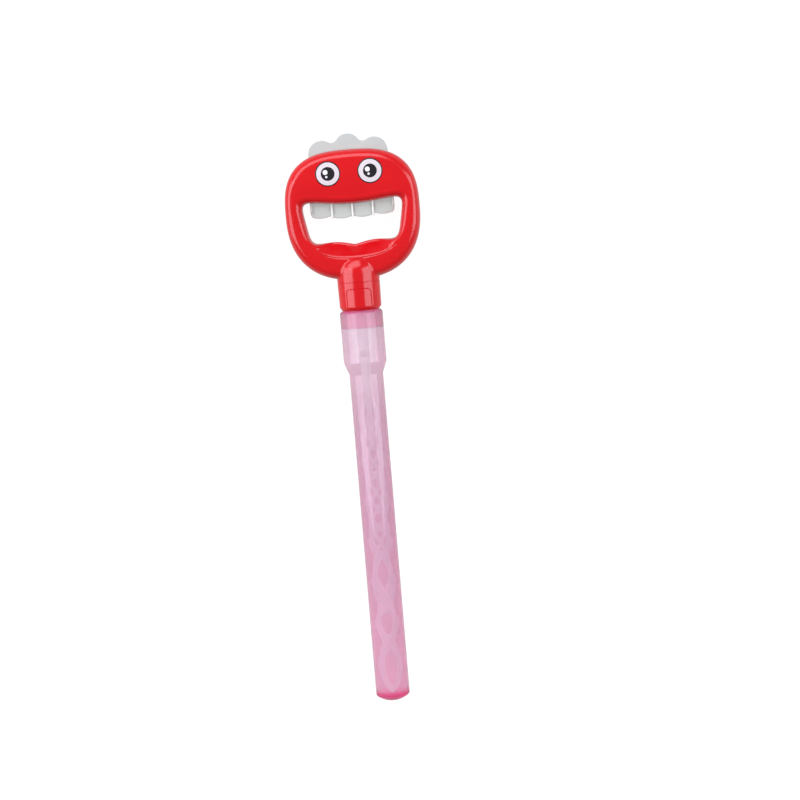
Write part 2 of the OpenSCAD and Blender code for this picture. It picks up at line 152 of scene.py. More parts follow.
def makeBox(low, high):
    deselectAll()
    bpy.ops.mesh.primitive_cube_add(size=1)
    obj = bpy.context.object
    for vertex in obj.data.vertices:
        vertex.co = Vector(high[k] if vertex.co[k] > 0 else low[k] for k in range(3))
    return obj


def makeDisc(centre, radius, depth, vertices):
    deselectAll()
    bpy.ops.mesh.primitive_cylinder_add(vertices=vertices, radius=radius * mm, depth=depth * mm,
                                        location=centre)
    bpy.ops.object.transform_apply(location=True, rotation=True, scale=True)
    return bpy.context.object


# flat plate with this outline, between two heights
def makeSlab(outline, low, high):
    deselectAll()
    bpy.ops.mesh.primitive_circle_add(vertices=len(outline), fill_type="NGON")
    obj = bpy.context.object
    for vertex, (x, level) in zip(obj.data.vertices, outline):
        vertex.co = place(x, level, low)
    startEdit(obj)
    bpy.ops.mesh.select_all(action="SELECT")
    bpy.ops.mesh.extrude_region_move(TRANSFORM_OT_translate={"value": (0, 0, (high - low) * mm)})
    endEdit()
    cleanMesh(obj)
    return obj


def arcPoints(centre, radius, start, end, steps):
    turns = [start + (end - start) * i / steps for i in range(steps + 1)]
    return [(centre[0] + radius * math.cos(t), centre[1] + radius * math.sin(t)) for t in turns]


# materials

def newMaterial(name):
    material = bpy.data.materials.new(name)
    material.use_nodes = True
    tree = material.node_tree
    return material, tree, tree.nodes["Principled BSDF"]


def addNode(tree, kind, **settings):
    node = tree.nodes.new(kind)
    for name, value in settings.items():
        setattr(node, name, value)
    return node


def objectPoint(tree):
    return addNode(tree, "ShaderNodeTexCoord").outputs["Object"]


def splitPoint(tree, point):
    node = addNode(tree, "ShaderNodeSeparateXYZ")
    tree.links.new(point, node.inputs[0])
    return node.outputs


def noise(tree, point, scale, detail=2.0):
    node = addNode(tree, "ShaderNodeTexNoise")
    node.inputs["Scale"].default_value = scale
    node.inputs["Detail"].default_value = detail
    tree.links.new(point, node.inputs["Vector"])
    return node.outputs["Fac"]


def mapped(tree, value, fromLow, fromHigh, toLow, toHigh, smooth=False):
    node = addNode(tree, "ShaderNodeMapRange")
    if smooth:
        node.interpolation_type = "SMOOTHSTEP"
    limits = {"From Min": fromLow, "From Max": fromHigh, "To Min": toLow, "To Max": toHigh}
    for name, number in limits.items():
        node.inputs[name].default_value = number
    tree.links.new(value, node.inputs["Value"])
    return node.outputs["Result"]


def mixColour(tree, share, first, second):
    node = addNode(tree, "ShaderNodeMix", data_type="RGBA")
    tree.links.new(share, node.inputs["Factor"])
    for socket, colour in ((node.inputs["A"], first), (node.inputs["B"], second)):
        if hasattr(colour, "links"):
            tree.links.new(colour, socket)
        else:
            socket.default_value = (*colour, 1)
    return node.outputs["Result"]


def addBump(tree, shader, height, strength, distance):
    node = addNode(tree, "ShaderNodeBump")
    node.inputs["Strength"].default_value = strength
    node.inputs["Distance"].default_value = distance
    tree.links.new(height, node.inputs["Height"])
    tree.links.new(node.outputs["Normal"], shader.inputs["Normal"])


# slow drift of the tint in the moulding, grain in the gloss, and fine pores
mouldedLook = {
    "flowScale": 45, "flowDetail": 3, "flowBand": (0.35, 0.65), "grainScale": 700, "grainDetail": 4,
    "grainBand": (0.3, 0.7), "poreScale": 2600, "poreStrength": 0.05, "poreDepth": 0.00002,
}
redFinish = {"colour": (0.585, 0.0050, 0.0085), "flow": (0.555, 0.0045, 0.0078), "rough": (0.14, 0.20)}
clearFinish = {
    "colour": (0.59, 0.585, 0.59), "flow": (0.55, 0.545, 0.55), "rough": (0.18, 0.30), "alpha": 0.80,
}
rivetFinish = {
    "colour": (0.40, 0.39, 0.40), "flow": (0.37, 0.36, 0.37), "rough": (0.15, 0.25), "alpha": 0.90,
}
deepFinish = {
    "colour": (0.62, 0.12, 0.29), "flow": (0.57, 0.11, 0.26), "rough": (0.15, 0.25), "alpha": 0.29,
}
whiteFinish = {
    "colour": (0.455, 0.455, 0.43), "flow": (0.43, 0.43, 0.41), "rough": (0.26, 0.38), "ior": 1.35,
    # panel and rib are painted light: panel makes the teeth paler towards their roots against the brow's
    # shadow, rib makes the raised ribs paler than the panels
    "tip": (0.487, 0.492, 0.463), "panel": (0.538, 0.554, 0.514), "rib": (0.77, 0.77, 0.73),
    # where one colour turns into the next, in mm: above the axis, out from the middle, and along the face
    "ribLightBand": (2.1, 2.7), "rowEnd": (24.6, 25.0), "rootLightBand": (-3, 4), "crestBand": (12, 30),
}


def plastic(name, finish):
    material, tree, shader = newMaterial(name)
    point = objectPoint(tree)
    drift = noise(tree, point, mouldedLook["flowScale"], mouldedLook["flowDetail"])
    flow = mapped(tree, drift, *mouldedLook["flowBand"], 0, 1)
    tree.links.new(mixColour(tree, flow, finish["colour"], finish["flow"]), shader.inputs["Base Color"])
    grain = noise(tree, point, mouldedLook["grainScale"], mouldedLook["grainDetail"])
    roughness = mapped(tree, grain, *mouldedLook["grainBand"], *finish["rough"])
    tree.links.new(roughness, shader.inputs["Roughness"])
    pores = noise(tree, point, mouldedLook["poreScale"])
    addBump(tree, shader, pores, mouldedLook["poreStrength"], mouldedLook["poreDepth"])
    shader.inputs["Alpha"].default_value = finish.get("alpha", 1.0)
    shader.inputs["IOR"].default_value = finish.get("ior", 1.5)
    return material, tree, shader


def makeWhitePlastic(name):
    material, tree, shader = plastic(name, whiteFinish)
    point = splitPoint(tree, objectPoint(tree))

    def band(value, start, limits, toLow=0, toHigh=1):
        low, high = ((start + limit) * mm for limit in limits)
        return mapped(tree, value, low, high, toLow, toHigh)

    outward = addNode(tree, "ShaderNodeMath", operation="ABSOLUTE")
    tree.links.new(point["X"], outward.inputs[0])
    # painted light: the raised ribs are paler than the shaded panels, but not those at the two ends of the
    # row
    ribLightShare = addNode(tree, "ShaderNodeMath", operation="MULTIPLY")
    tree.links.new(band(outward.outputs[0], 0, whiteFinish["rowEnd"], 1, 0), ribLightShare.inputs[0])
    tree.links.new(band(point["Z"], axisZ, whiteFinish["ribLightBand"]), ribLightShare.inputs[1])
    # painted light: the teeth turn from the tip colour to the paler panel colour towards their roots, to
    # offset the brow's shadow
    rootLightShare = band(point["Y"], faceY, whiteFinish["rootLightBand"])
    tooth = mixColour(tree, rootLightShare, whiteFinish["tip"], whiteFinish["panel"])
    teeth = mixColour(tree, ribLightShare.outputs[0], tooth, whiteFinish["rib"])
    crest = shader.inputs["Base Color"].links[0].from_socket
    colour = mixColour(tree, band(point["Y"], faceY, whiteFinish["crestBand"]), teeth, crest)
    tree.links.new(colour, shader.inputs["Base Color"])
    return material


tubeFinish = {
    "rough": (0.05, 0.07), "clear": 0.74, "ior": 1.33, "grainScale": 500, "grainDetail": 3,
    "deepColour": (0.82, 0.10, 0.42), "deepDensity": 200.0,
    "cloudColour": (0.58, 0.46, 0.51), "cloudShare": 0.15, "cloudScale": 120, "cloudDetail": 3,
    "low": -181.0, "high": 79.0,
    # height along the wand in mm, colour
    "tint": (
        (-181, (0.82, 0.15, 0.38)), (-175.4, (0.84, 0.20, 0.43)), (-174.2, (0.75, 0.53, 0.62)),
        (-60, (0.67, 0.49, 0.57)), (8, (0.64, 0.525, 0.575)), (28, (0.69, 0.61, 0.64)),
        (36, (0.72, 0.64, 0.67)), (58.2, (0.675, 0.61, 0.635)), (58.6, (0.68, 0.58, 0.62)),
        # the deep band from 68.6 to 69.4, at the top of the rim, is painted shade in the groove under the
        # neck
        (67.6, (0.68, 0.56, 0.61)), (68.6, (0.66, 0.11, 0.30)), (69.4, (0.66, 0.11, 0.30)),
        (69.8, (0.66, 0.42, 0.52)), (79, (0.66, 0.42, 0.52)),
    ),
}


def makeTubePlastic(name):
    material, tree, shader = newMaterial(name)
    point = objectPoint(tree)
    low, high = tubeFinish["low"], tubeFinish["high"]
    ramp = addNode(tree, "ShaderNodeValToRGB")
    along = mapped(tree, splitPoint(tree, point)["Y"], low * mm, high * mm, 0, 1)
    tree.links.new(along, ramp.inputs["Fac"])
    stops = ramp.color_ramp.elements
    while len(stops) < len(tubeFinish["tint"]):
        stops.new(1.0)
    for stop, (height, colour) in zip(stops, tubeFinish["tint"]):
        stop.position = (height - low) / (high - low)
        stop.color = (*colour, 1)
    drift = noise(tree, point, tubeFinish["cloudScale"], tubeFinish["cloudDetail"])
    cloud = mapped(tree, drift, *mouldedLook["flowBand"], 0, tubeFinish["cloudShare"])
    tint = mixColour(tree, cloud, ramp.outputs["Color"], tubeFinish["cloudColour"])
    tree.links.new(tint, shader.inputs["Base Color"])
    grain = noise(tree, point, tubeFinish["grainScale"], tubeFinish["grainDetail"])
    roughness = mapped(tree, grain, *mouldedLook["grainBand"], *tubeFinish["rough"])
    tree.links.new(roughness, shader.inputs["Roughness"])
    shader.inputs["Transmission Weight"].default_value = tubeFinish["clear"]
    shader.inputs["IOR"].default_value = tubeFinish["ior"]
    absorb = addNode(tree, "ShaderNodeVolumeAbsorption")      # thick places look deeper
    absorb.inputs["Color"].default_value = (*tubeFinish["deepColour"], 1)
    absorb.inputs["Density"].default_value = tubeFinish["deepDensity"]
    tree.links.new(absorb.outputs["Volume"], tree.nodes["Material Output"].inputs["Volume"])
    return material


redPlastic = plastic("redPlastic", redFinish)[0]
whitePlastic = makeWhitePlastic("whitePlastic")
clearPlastic = plastic("clearPlastic", clearFinish)[0]
rivetPlastic = plastic("rivetPlastic", rivetFinish)[0]
deepPink = plastic("deepPink", deepFinish)[0]
tubePlastic = makeTubePlastic("tubePlastic")

eyeFinish = {
    "outline": 7.2, "pupil": 4.35, "soft": 0.06, "level": 24.5, "pitch": 26.6,
    "white": (0.64, 0.56, 0.585), "black": (0.012, 0.010, 0.012), "sparkle": (0.75, 0.70, 0.72),
    "rough": (0.22, 0.32), "grainScale": 900, "grainDetail": 3,
    # place of a highlight from the pupil's middle, and its radius, in mm
    "sparkles": ((-1.55, 1.05, 1.55), (-1.0, -1.9, 0.75)),
}


def eyePlace(side, height):
    return place(side * eyeFinish["pitch"] / 2, eyeFinish["level"], height)


def makeEyePrint(name, side):
    material, tree, shader = newMaterial(name)
    middle = eyePlace(side, 0)
    soft = eyeFinish["soft"] * mm

    def within(x, y, radius):
        move = addNode(tree, "ShaderNodeMapping")
        move.inputs["Location"].default_value = (-middle.x - x * mm, -middle.y - y * mm, 0)
        move.inputs["Scale"].default_value = (1, 1, 0)
        tree.links.new(objectPoint(tree), move.inputs["Vector"])
        length = addNode(tree, "ShaderNodeVectorMath", operation="LENGTH")
        tree.links.new(move.outputs["Vector"], length.inputs[0])
        edge = radius * mm
        return mapped(tree, length.outputs["Value"], edge - soft, edge + soft, 1, 0, smooth=True)

    colour = mixColour(tree, within(0, 0, eyeFinish["outline"]), eyeFinish["black"], eyeFinish["white"])
    colour = mixColour(tree, within(0, 0, eyeFinish["pupil"]), colour, eyeFinish["black"])
    for x, y, radius in eyeFinish["sparkles"]:
        colour = mixColour(tree, within(x, y, radius), colour, eyeFinish["sparkle"])
    tree.links.new(colour, shader.inputs["Base Color"])
    grain = noise(tree, objectPoint(tree), eyeFinish["grainScale"], eyeFinish["grainDetail"])
    roughness = mapped(tree, grain, *mouldedLook["grainBand"], *eyeFinish["rough"])
    tree.links.new(roughness, shader.inputs["Roughness"])
    return material


print("materials ready")


# red grip: a torus drawn out to the outline of the face, with the neck joined on

grip = {
    "stations": 192, "width": 85.0, "rise": 38.9, "fall": 43.3, "halfThick": 9.3, "wall": 2.0, "crown": 0.03,
    "crownPower": 2.8, "jawPower": 2.4, "edge": 7.0, "edgeLimit": 0.96, "edgePower": 2.4, "seam": 0.18,
    "mouthWidth": 59.9, "mouthHeight": 29.3, "mouthDrop": 6.25, "mouthPower": 5.8, "taper": 0.092,
    "browSag": 3.8, "hump": 2.1, "humpPitch": 26.8, "humpSoft": 0.12,
    "sideFlare": 4.5, "browFlare": 4.5, "browPower": 4.8, "lipFlare": 7.2, "lipPower": 2.6,
    "edgeSteps": 14, "faceSteps": 9, "flareSteps": 6,
    # how far up or down the face, as a sine, the brow and the lip begin, and how soon they are full
    "browFrom": 0.35, "lipFrom": 0.5, "fullAfter": 0.2,
    # distance inwards from the front edge of the mouth, rise or fall there
    "browBead": ((-0.9, 0.0), (-0.35, 0.16), (0.5, 0.13), (1.3, 0.0)),
    "lipBead": ((-2.2, 0.0), (-1.3, -0.42), (-0.85, 0.0), (0.15, -0.46)),
    # distance outwards from the humped edge of the lip, height there
    "lipEdge": ((1.4, 1.95), (0.5, 1.53), (0.2, 1.2), (0.07, 0.8), (0.0, 0.0)),
    # where the section has points about the front edge of the mouth and before its inner edge, and the
    # room that these points need
    "creaseSteps": (-2.4, -2.2, -2.1, -1.4, -1.3, -1.2, -0.95, -0.85, -0.75, 0.05, 0.15, 0.35),
    "rimSteps": (1.6, 1.4, 1.32, 0.9, 0.58, 0.5, 0.38, 0.25, 0.15, 0.07, 0.02, 0.0),
    "creaseRoom": 3, "rimRoom": 4,
}


# how far a superellipse reaches at this angle
def squaredRadius(angle, halfWidth, halfHeight, power):
    across = abs(math.cos(angle)) / halfWidth
    along = abs(math.sin(angle)) / halfHeight
    return (across ** power + along ** power) ** (-1 / power)


def headRim(angle):
    up = math.sin(angle) >= 0
    r = squaredRadius(angle, grip["width"] / 2, grip["rise"] if up else grip["fall"],
                      grip["crownPower"] if up else grip["jawPower"])
    return Vector((r * math.cos(angle), r * math.sin(angle)))


def browShift(x, share):
    return -grip["browSag"] * share * (1 - (2 * x / grip["mouthWidth"]) ** 2)


def lipShift(x, share):
    if abs(x) > grip["humpPitch"]:
        return 0.0
    soft = grip["humpSoft"]                                   # rounds the valley between the humps
    wave = math.hypot(math.sin(math.pi * x / grip["humpPitch"]), soft) - soft
    return grip["hump"] * share * wave / (math.hypot(1, soft) - soft)


# edge of the mouth's opening, at the parting line
def mouthMiddle(angle):
    r = squaredRadius(angle, grip["mouthWidth"] / 2, grip["mouthHeight"] / 2, grip["mouthPower"])
    share = 2 * r * math.sin(angle) / grip["mouthHeight"]
    x = r * math.cos(angle) * (1 + grip["taper"] * share)
    shift = browShift(x, share) if share > 0 else lipShift(x, -share)
    return Vector((x, r * math.sin(angle) + shift - grip["mouthDrop"]))


# edge of the mouth on the front face, from which it falls inwards to the opening
def mouthFront(angle):
    up = math.sin(angle) >= 0
    halfHeight = grip["mouthHeight"] / 2 + (grip["browFlare"] if up else grip["lipFlare"])
    power = grip["browPower"] if up else grip["lipPower"]
    r = squaredRadius(angle, grip["mouthWidth"] / 2 + grip["sideFlare"], halfHeight, power)
    share = max(-1, min(1, 2 * r * math.sin(angle) / grip["mouthHeight"]))
    x = r * math.cos(angle) * (1 + grip["taper"] * share)
    shift = browShift(x, r * math.sin(angle) / halfHeight) if up else 0
    return Vector((x, r * math.sin(angle) + shift - grip["mouthDrop"]))


def shareFrom(start, value):
    return min(1, max(0, (value - start) / grip["fullAfter"]))


# the higher of two heights, with a round in the corner between them
def softHigher(a, b, blend):
    gap = max(0, blend - abs(a - b)) / blend
    return max(a, b) + blend * gap * gap / 4


# height at distance d along a line of points, each a distance and a height
def heightAlong(points, d):
    for (d0, h0), (d1, h1) in zip(points, points[1:]):
        if d <= d1:
            return h0 + (h1 - h0) * max(0, d - d0) / (d1 - d0)
    return points[-1][1]


def lipHeight(d, drop):
    points = [(at, grip["halfThick"] + rise) for at, rise in grip["lipBead"]]
    points += [(drop - back, height) for back, height in grip["lipEdge"]]
    return heightAlong(points, d)


def sectionSteps(flat, drop):
    crease = [d * min(1, flat / grip["creaseRoom"], drop / grip["creaseRoom"]) for d in grip["creaseSteps"]]
    rims = [drop - d * min(1, drop / grip["rimRoom"]) for d in grip["rimSteps"]]
    face, flare = flat + crease[0], rims[0] - crease[-1]
    steps = [-flat + face * i / grip["faceSteps"] for i in range(1, grip["faceSteps"])] + crease
    return steps + [crease[-1] + flare * i / grip["flareSteps"] for i in range(1, grip["flareSteps"])] + rims


# skin from the rim over the face to the edge of the mouth, and the lining under it
def gripSection(angle, crown):
    rim, front, middle = headRim(angle), mouthFront(angle), mouthMiddle(angle)
    reach, drop = (front - rim).length, (middle - front).length
    along, inward = (front - rim) / reach, (middle - front) / drop
    edge = min(grip["edge"], grip["edgeLimit"] * reach)
    flat = reach - edge
    half, power = grip["halfThick"], grip["edgePower"]
    brow, lip = shareFrom(grip["browFrom"], math.sin(angle)), shareFrom(grip["lipFrom"], -math.sin(angle))
    skin = [(rim + along * grip["seam"], 0.0)]
    first = math.asin((grip["seam"] / half) ** (power / 2))   # the parting line is a fine groove
    for i in range(grip["edgeSteps"] + 1):
        turn = max(0.5 * math.pi * i / grip["edgeSteps"], first)
        across = 1 - max(0, math.cos(turn)) ** (2 / power)
        skin.append((rim + along * edge * across, half * math.sin(turn) ** (2 / power)))
    for d in sectionSteps(flat, drop):                        # inwards from the front edge of the mouth
        if d <= 0:
            share = 1 + d / flat
            point, height = front + along * d, half + crown * flat * 4 * share * (1 - share)
        else:
            share = min(1, d / drop)
            point, height = front + inward * d, half * (1 - share ** power) ** (1 / power)
        if brow:
            height += brow * heightAlong(grip["browBead"], d)
        if lip and d > grip["lipBead"][0][0]:
            height += lip * (lipHeight(d, drop) - height)
        skin.append((point, max(grip["seam"], height)))
    skin[-1] = (middle, 0.0)
    centre = (rim + middle) / 2
    shrink = 1 - 2 * grip["wall"] / (rim - middle).length
    low = 1 - grip["wall"] / half
    lining = [(centre + (point - centre) * shrink, height * low) for point, height in reversed(skin)]
    return skin, lining


neck = {
    "lowR": 13.1, "topR": 13.5, "drop": 62.6, "domeDrop": 39.0, "socketR": 11.45, "socketDepth": 13.0,
    "chamfer": 1.4, "chamferRise": 1.9, "chamferSoft": 0.25, "chamferEnd": 0.15,
    "steps": 72, "domeSteps": 18, "seamAngle": 0.4,
    # heights above the chamfer of rings that hold the gloss straight
    "rings": (0.7, 3.0, 10.0),
    # the face blends into the dome where it is higher than liftFrom, and stays just under it
    "liftFrom": 4, "blend": 0.9, "sink": 0.05,
    # fine moulded lines, with heights above the end of the neck
    "lineWidth": 0.6, "lineDepth": 0.25, "ringRise": 17.9,
    "archRise": 14.0, "archWidth": 16.0, "archCorner": 2.6, "archPast": 1, "archSteps": 8,
    # place across the ring line as a share of its width, and how deep it is there as a share of its depth
    "ringSection": ((-0.5, 0), (-0.2, 1), (0.2, 1), (0.5, 0)),
    # the same for the wedge that cuts the arch, with heights above the neck instead of depths
    "archSection": ((-0.5, 1), (0.5, -1), (1.5, 1)),
}


def neckHeight(x, level):
    radius = neck["topR"]
    if level <= -neck["domeDrop"]:
        share = (level + neck["drop"]) / (neck["drop"] - neck["domeDrop"])
        radius = neck["lowR"] + (neck["topR"] - neck["lowR"]) * max(0, share)
        left = radius ** 2 - x ** 2
    else:
        left = radius ** 2 - x ** 2 - (level + neck["domeDrop"]) ** 2
    return math.sqrt(left) if left > 0 else 0.0


def neckOutline():
    end, radius, soft = -neck["drop"], neck["lowR"], neck["chamferSoft"]
    shoulder = end + neck["chamferRise"]
    outline = [
        (0.0, end + neck["socketDepth"]), (neck["socketR"], end + neck["socketDepth"]),
        (neck["socketR"], end), (radius - neck["chamfer"], end),
        (radius - soft, shoulder - soft), (radius, shoulder + neck["chamferEnd"]),
    ]
    slope = (neck["topR"] - radius) / (neck["drop"] - neck["domeDrop"])
    for rise in neck["rings"]:
        up = neck["chamferRise"] + rise
        outline.append((radius + slope * up, end + up))
    for across, sunk in neck["ringSection"]:
        up = neck["ringRise"] + across * neck["lineWidth"]
        outline.append((radius + slope * up - sunk * neck["lineDepth"], end + up))
    outline += arcPoints((0, -neck["domeDrop"]), neck["topR"], 0, math.pi / 2, neck["domeSteps"])
    outline[-1] = (0.0, outline[-1][1])
    return outline


def makeNeckHalf(side):
    obj = emptyPiece()
    mesh = startEdit(obj)
    start = math.radians(neck["seamAngle"])
    across, up = math.cos(start), side * math.sin(start)
    mesh.faces.new([mesh.verts.new(place(r * across, level, r * up)) for r, level in neckOutline()])
    bmesh.update_edit_mesh(obj.data)
    bpy.ops.mesh.select_all(action="SELECT")
    sweep = side * (math.pi - 2 * start)                      # the operator turns left-handed about its axis
    bpy.ops.mesh.spin(steps=neck["steps"], angle=sweep, center=place(0, 0, 0), axis=(0, 1, 0))
    endEdit()
    cleanMesh(obj)
    return obj


def neckArch(inset):
    corner, steps = neck["archCorner"], neck["archSteps"]
    middle = (neck["archWidth"] / 2 - corner, neck["archRise"] - neck["drop"] - corner)
    right = [(neck["archWidth"] / 2 - inset, -neck["drop"] - neck["archPast"])]
    right += arcPoints(middle, corner - inset, 0, math.pi / 2, steps)
    right += [(middle[0] * (1 - i / steps), right[-1][1]) for i in range(1, steps + 1)]
    return right + [(-x, level) for x, level in reversed(right[:-1])]


def cutNeckArch(obj):
    tool = emptyPiece()
    mesh = startEdit(tool)
    lifts = [height * neck["lineDepth"] for across, height in neck["archSection"]]
    arches = [neckArch(across * neck["lineWidth"]) for across, height in neck["archSection"]]
    rings = []
    for corners in zip(*arches):                              # a wedge, half of it in the neck
        spots = [place(*at, neckHeight(*at) + lift) for at, lift in zip(corners, lifts)]
        rings.append([mesh.verts.new(spot) for spot in spots])
    for ring, after in zip(rings, rings[1:]):
        for k in range(len(ring)):
            mesh.faces.new((ring[k], ring[k - 1], after[k - 1], after[k]))
    mesh.faces.new(rings[0])
    mesh.faces.new(rings[-1])
    bmesh.update_edit_mesh(tool.data)
    endEdit()
    cleanMesh(tool)
    cutOrJoin(obj, tool, "DIFFERENCE")


def liftedSkin(skin):
    lifted = []
    for point, height in skin:
        if height > neck["liftFrom"]:
            height = softHigher(height, neckHeight(point.x, point.y) - neck["sink"], neck["blend"])
        lifted.append((point, height))
    return lifted


def makeGripHalf(side, crown):
    stations = grip["stations"]
    sections = []
    for i in range(stations):
        skin, lining = gripSection(math.tau * i / stations, crown)
        sections.append(liftedSkin(skin) + lining)
    count = len(sections[0])
    deselectAll()
    bpy.ops.mesh.primitive_torus_add(major_segments=stations, minor_segments=count)
    obj = bpy.context.object
    for i, section in enumerate(sections):                    # each ring of the torus takes its section
        for k, (point, height) in enumerate(section):
            obj.data.vertices[i * count + k].co = place(point.x, point.y, side * height)
    cleanMesh(obj)
    cutOrJoin(obj, makeNeckHalf(side), "UNION")
    return obj


plateGap = {"thick": 4.2, "crestWidth": 50.2, "teethWidth": 53.2, "low": -6.7, "high": 48.8, "step": 14.9}
eyeSocket = {"radius": 7.95, "depth": 5.0, "rise": 2.0, "vertices": 96}


def cutPlateSlot(obj):
    half = plateGap["thick"] / 2
    crestGap = (plateGap["crestWidth"], plateGap["high"])
    teethGap = (plateGap["teethWidth"], plateGap["step"])
    for width, top in (crestGap, teethGap):
        low, high = place(-width / 2, plateGap["low"], -half), place(width / 2, top, half)
        cutOrJoin(obj, makeBox(low, high), "DIFFERENCE")


def cutEyeSockets(obj):
    for side in (-1, 1):
        centre = eyePlace(side, grip["halfThick"] + eyeSocket["rise"])
        socket = makeDisc(centre, eyeSocket["radius"], eyeSocket["depth"], eyeSocket["vertices"])
        cutOrJoin(obj, socket, "DIFFERENCE")


frontGrip = makeGripHalf(1, grip["crown"])
cutPlateSlot(frontGrip)
cutEyeSockets(frontGrip)
cutNeckArch(frontGrip)
mergeSlivers(frontGrip)
smoothShade(frontGrip)
finishPiece(frontGrip, "frontGrip", "handle", "red_plastic", redPlastic, "front_shell")

rearGrip = makeGripHalf(-1, 0.0)                              # no crown: the back is flat
cutPlateSlot(rearGrip)
mergeSlivers(rearGrip)
smoothShade(rearGrip)
finishPiece(rearGrip, "rearGrip", "handle", "red_plastic", redPlastic, "rear_shell")


# eyes: printed pads with a rounded edge

eyePad = {
    "radius": 7.9, "bottom": 8.8, "thick": 1.0, "edge": 0.25, "segments": 3, "vertices": 96, "smooth": 40,
}


def makeEye(name, side, node):
    centre = eyePlace(side, eyePad["bottom"] + eyePad["thick"] / 2)
    obj = makeDisc(centre, eyePad["radius"], eyePad["thick"], eyePad["vertices"])
    mesh = startEdit(obj, "EDGE")
    for edge in mesh.edges:
        edge.select_set(all(v.co.z > centre.z for v in edge.verts))
    bpy.ops.mesh.bevel(offset=eyePad["edge"] * mm, segments=eyePad["segments"])
    endEdit()
    smoothShade(obj, eyePad["smooth"])
    finishPiece(obj, name, "handle", "eye_print", makeEyePrint(name + "Print", side), node)


makeEye("leftEye", -1, "left_eye")
makeEye("rightEye", 1, "right_eye")


# white plate with the crest and the row of teeth

plate = {
    "thick": 4.0, "edge": 0.6, "edgeSegments": 4, "sharpAngle": 60,
    "crestLevel": 48.8, "midRadius": 8.0, "sideRadius": 8.4, "sideX": 16.6, "crestStep": 3.3,
    "hollowRadius": 4.0, "sideSteps": 16, "hollowSteps": 10, "midSteps": 10,
    "teethWidth": 53.0, "teeth": 4, "drop": 4.2, "arc": 0.9, "tipRadius": 18.0, "corner": 5.0,
    "stepLevel": 14.8, "cornerSteps": 12, "tipSteps": 80,
    "panelSink": 0.6, "panelRim": 1.4, "panelLift": 0.8, "panelTop": 4.6, "panelPast": 1,
    # ribFoot is a height above the lowest tips, endRibLow a level on the face
    "ribWidth": 1.3, "ribHeight": 0.8, "ribTip": 1.2, "ribEdge": 0.45, "ribSegments": 3, "ribRoot": 1.5,
    "ribFoot": 0.4, "endRibLow": 0.5,
}


# from the right lobe over a hollow to the middle lobe, and the mirror image of that
def crestOutline():
    middle = Vector((0, plate["crestLevel"] - plate["midRadius"]))
    lobe = Vector((plate["sideX"], plate["crestLevel"] - plate["crestStep"] - plate["sideRadius"]))
    span = lobe - middle
    midReach = plate["midRadius"] + plate["hollowRadius"]
    lobeReach = plate["sideRadius"] + plate["hollowRadius"]
    along = (span.length ** 2 + midReach ** 2 - lobeReach ** 2) / (2 * span.length)
    run = span.normalized()
    hollow = middle + run * along + Vector((-run.y, run.x)) * math.sqrt(midReach ** 2 - along ** 2)
    fromLobe = math.atan2(*(hollow - lobe).yx)
    fromMiddle = math.atan2(*(hollow - middle).yx)
    start, end = fromLobe + math.pi, fromMiddle + math.pi
    right = arcPoints(lobe, plate["sideRadius"], 0, fromLobe, plate["sideSteps"])
    right += arcPoints(hollow, plate["hollowRadius"], start, end, plate["hollowSteps"])[1:]
    right += arcPoints(middle, plate["midRadius"], fromMiddle, math.pi / 2, plate["midSteps"])[1:]
    return right + [(-x, y) for x, y in reversed(right[:-1])]


# row of teeth, smaller by the margin, moved up by the lift and closed at the top level
def teethOutline(margin, lift, top):
    half, corner = plate["teethWidth"] / 2 - margin, plate["corner"] - margin
    low, tipRadius = margin - plate["drop"], plate["tipRadius"]
    width = plate["teethWidth"] / plate["teeth"]
    cornerSteps, tipSteps = plate["cornerSteps"], plate["tipSteps"]
    across = [-half + corner * (1 - math.cos(0.5 * math.pi * i / cornerSteps)) for i in range(cornerSteps)]
    across += [(half - corner) * (2 * i / tipSteps - 1) for i in range(tipSteps + 1)]
    across += [-x for x in reversed(across[:cornerSteps])]
    bottom = []
    for x in across:
        i = min(plate["teeth"] - 1, max(0, int((x + plate["teethWidth"] / 2) / width)))
        raised = plate["arc"] * (abs(i - (plate["teeth"] - 1) / 2) - 0.5)
        off = x - ((i + 0.5) * width - plate["teethWidth"] / 2)
        tip = tipRadius - plate["drop"] + raised - math.sqrt((tipRadius - margin) ** 2 - off ** 2)
        side = max(0, abs(x) - half + corner)
        bottom.append((x, lift + max(tip, low + corner - math.sqrt(max(0, corner ** 2 - side ** 2)))))
    return [(-half, top)] + bottom + [(half, top)]


def browLevel(x):
    return grip["mouthHeight"] / 2 - grip["mouthDrop"] + browShift(x, 1)


def makeRib(i):
    half, width = plate["thick"] / 2, plate["ribWidth"]
    x = (plate["teethWidth"] - width) * (i / plate["teeth"] - 0.5)
    atEnd = i in (0, plate["teeth"])
    low = plate["endRibLow"] if atEnd else plate["ribFoot"] - plate["drop"]
    rib = makeBox(place(x - width / 2, low, half - plate["ribRoot"]),
                  place(x + width / 2, browLevel(x) + plate["ribTip"], half + plate["ribHeight"]))
    useModifier(rib, "BEVEL", width=plate["ribEdge"] * mm, segments=plate["ribSegments"],
                limit_method="ANGLE")
    return rib


def makeToothPlate():
    half = plate["thick"] / 2
    obj = makeSlab(teethOutline(0, 0, plate["stepLevel"]) + crestOutline(), -half, half)
    useModifier(obj, "BEVEL", width=plate["edge"] * mm, segments=plate["edgeSegments"], limit_method="ANGLE",
                angle_limit=math.radians(plate["sharpAngle"]))
    panel = teethOutline(plate["panelRim"], plate["panelLift"], plate["panelTop"])
    cutOrJoin(obj, makeSlab(panel, half - plate["panelSink"], half + plate["panelPast"]), "DIFFERENCE")
    for i in range(plate["teeth"] + 1):
        cutOrJoin(obj, makeRib(i), "UNION")
    smoothShade(obj)
    finishPiece(obj, "toothPlate", "handle", "white_plastic", whitePlastic, "tooth_plate")


makeToothPlate()


# pieces that keep their moulded outline and get rounded edges

